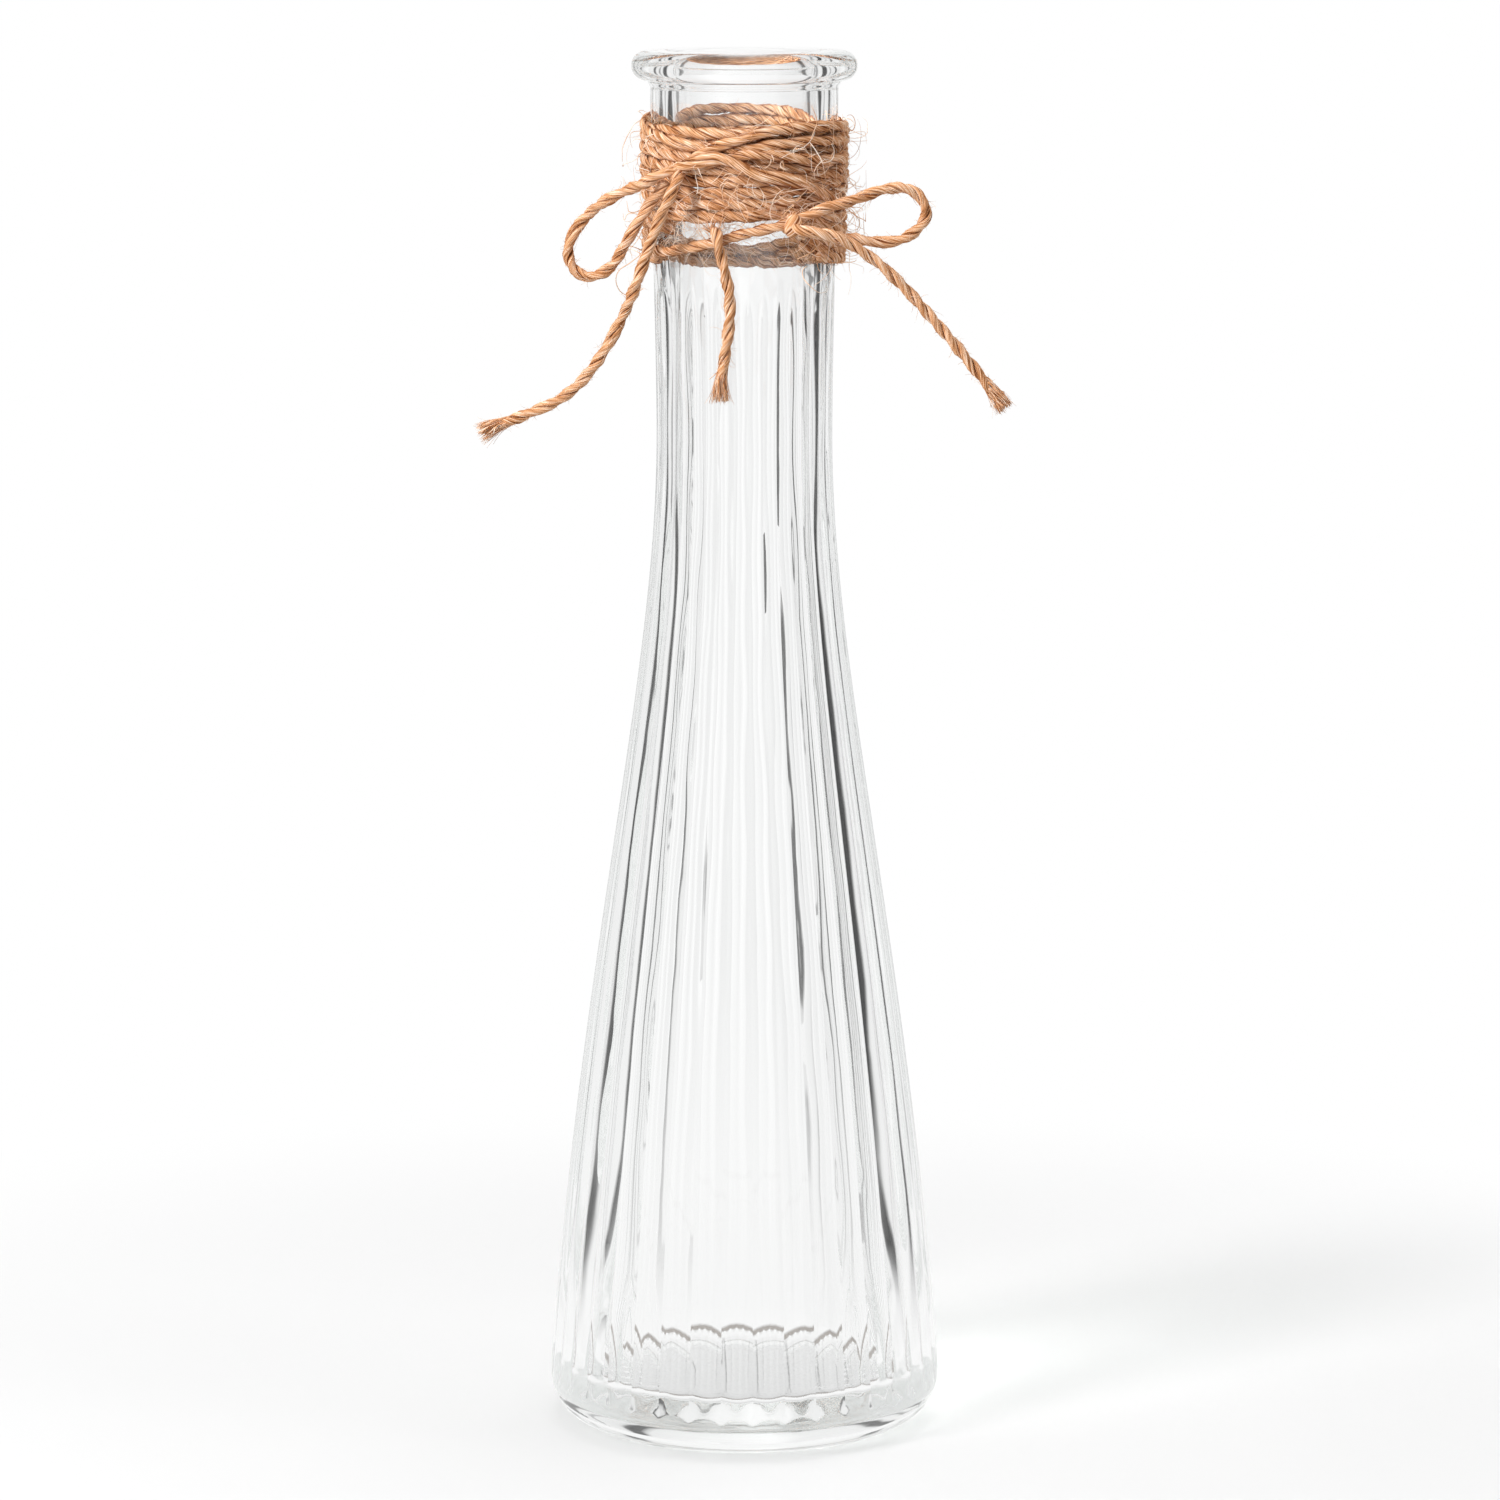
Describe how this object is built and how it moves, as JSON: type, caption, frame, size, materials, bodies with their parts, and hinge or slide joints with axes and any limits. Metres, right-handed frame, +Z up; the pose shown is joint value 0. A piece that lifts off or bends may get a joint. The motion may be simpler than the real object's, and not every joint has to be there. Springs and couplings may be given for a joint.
{
  "type": "glass vase",
  "caption": "Tall clear glass bottle vase with a reeded flaring body, a rolled rim and jute twine wound and tied in a bow round its neck.",
  "frame": {"origin": "centre of the flat base, on the surface that the vase stands on", "axes": "+Z up along the vase's axis, the bow faces -Y, +X to the right of a viewer who faces the bow"},
  "size_m": [0.0951, 0.0712, 0.25],
  "materials": {
    "clear_glass": "clear pressed glass, polished, with a faint grey-green tint where it is thick",
    "jute_twine": "natural two-ply jute, matt, hairy"
  },
  "bodies": {
    "root": {"glass_body": "clear_glass", "twine_band": "jute_twine", "lower_turn_upper": "jute_twine", "lower_turn_middle": "jute_twine", "lower_turn_lower": "jute_twine", "lower_strand": "jute_twine", "cross_strand": "jute_twine", "upper_strand": "jute_twine", "knot_left": "jute_twine", "knot_right": "jute_twine", "bow_loop_left": "jute_twine", "bow_loop_right": "jute_twine", "tail_left": "jute_twine", "tail_right": "jute_twine", "tail_centre": "jute_twine"}
  },
  "joints": []
}
